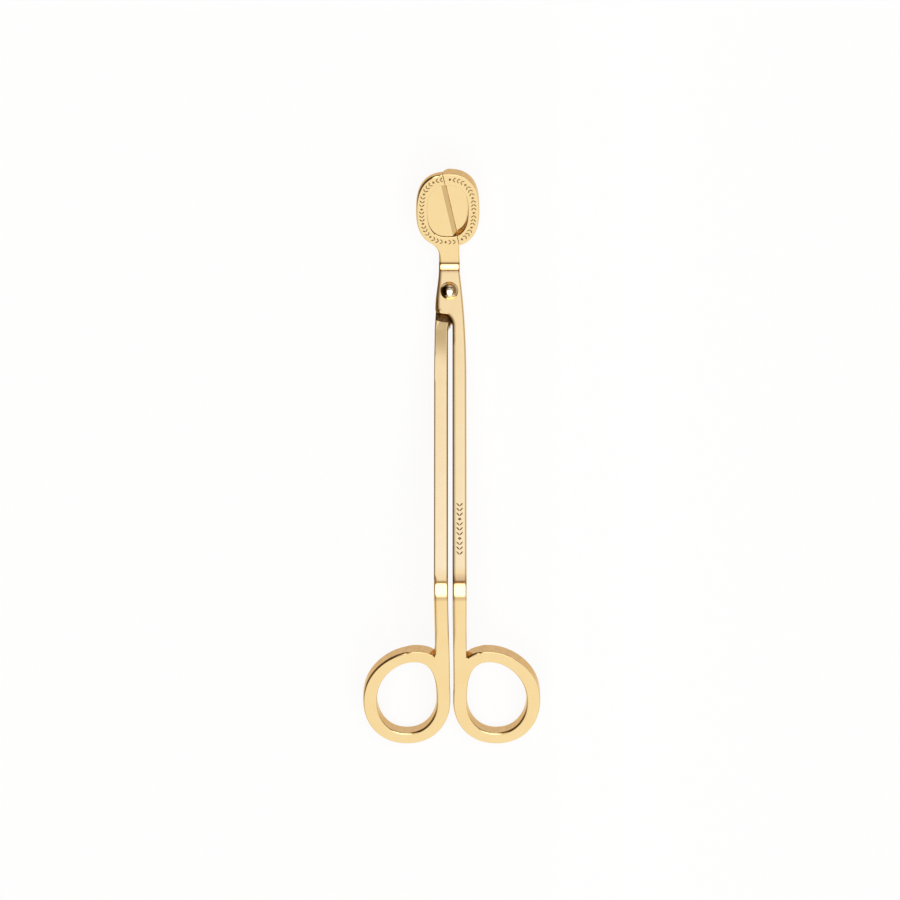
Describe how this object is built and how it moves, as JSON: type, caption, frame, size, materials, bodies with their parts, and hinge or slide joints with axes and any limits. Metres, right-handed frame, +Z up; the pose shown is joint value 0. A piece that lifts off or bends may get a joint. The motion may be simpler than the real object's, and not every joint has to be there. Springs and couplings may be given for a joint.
{
  "type": "wick trimmer",
  "caption": "Candle wick trimmer: two crossed arms on one pivot, a tilted oval head split into blade and catch tray, long shafts, and finger rings bent down at the other end.",
  "frame": {"origin": "on the table, under the middle of the closed trimmer's box as it lies on its two rings and its neck bend", "axes": "+Z up from the table, +Y from the finger rings to the head, +X to the right seen from above with the head away"},
  "size_m": [0.055, 0.1783, 0.0339],
  "materials": {
    "arm_plating": "polished pale gold plating over steel",
    "pivot_plating": "polished gold plating, slightly deeper"
  },
  "bodies": {
    "lower": {"lower_arm": "arm_plating", "pivot_cap": "pivot_plating", "pivot_screw": "pivot_plating"},
    "upper": {"upper_arm": "arm_plating"}
  },
  "joints": [
    {"name": "blade_pivot", "type": "hinge", "parent": "lower", "child": "upper", "pos_m": [-0.00075, 0.05155, 0.00407], "axis": [0, 0.2961, 0.9552], "range_deg": [0, 40]}
  ]
}
